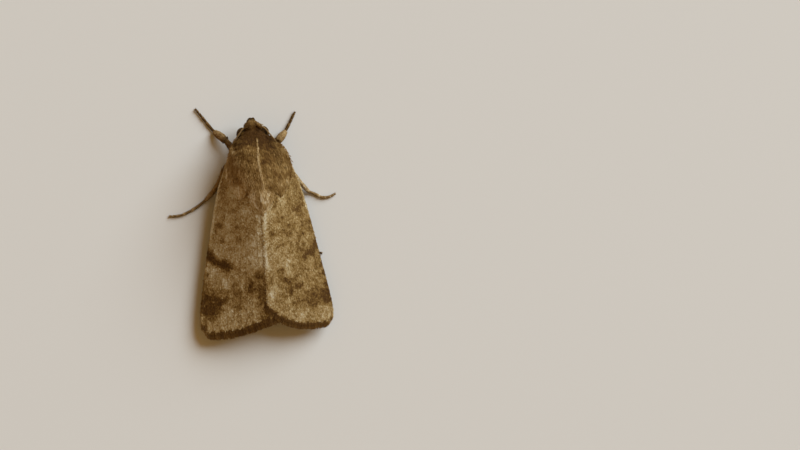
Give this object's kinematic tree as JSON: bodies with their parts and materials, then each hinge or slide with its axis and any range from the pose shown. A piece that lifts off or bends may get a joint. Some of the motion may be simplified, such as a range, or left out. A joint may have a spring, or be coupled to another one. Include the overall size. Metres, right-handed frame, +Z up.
{
  "type": "noctuid moth",
  "caption": "Life-size still model of a stout brown owlet moth at rest, its mottled forewings closed over the back like a low roof.",
  "frame": {"origin": "on the floor under the middle of the whole moth's box, legs and wings included", "axes": "+Z up from the floor, +Y from the head towards the wing tips, +X to the moth's left"},
  "size_m": [0.0162, 0.0218, 0.0055],
  "materials": {
    "forewing": "overlapping scales, mottled brown and buff",
    "hindwing": "thin pale scales with a dark border",
    "body": "dense hair-like brown scales",
    "abdomen": "flat buff scales in rings",
    "leg": "flat scales, the feet banded dark and pale",
    "feeler": "fine brown scales",
    "eye": "glossy faceted cornea"
  },
  "bodies": {
    "root": {"head": "body", "collar": "body", "thorax": "body", "abdomen": "abdomen", "eye_left": "eye", "eye_right": "eye", "palp_left": "feeler", "palp_right": "feeler", "antenna_left": "feeler", "antenna_right": "feeler", "tegula_left": "body", "tegula_right": "body", "forewing_left": "forewing", "forewing_right": "forewing", "hindwing_left": "hindwing", "hindwing_right": "hindwing", "foreleg_left_femur": "leg", "foreleg_left_tibia": "leg", "foreleg_left_foot": "leg", "foreleg_right_femur": "leg", "foreleg_right_tibia": "leg", "foreleg_right_foot": "leg", "midleg_left_femur": "leg", "midleg_left_tibia": "leg", "midleg_left_foot": "leg", "midleg_right_femur": "leg", "midleg_right_tibia": "leg", "midleg_right_foot": "leg", "hindleg_left_femur": "leg", "hindleg_left_tibia": "leg", "hindleg_left_foot": "leg", "hindleg_right_femur": "leg", "hindleg_right_tibia": "leg", "hindleg_right_foot": "leg"}
  },
  "joints": []
}
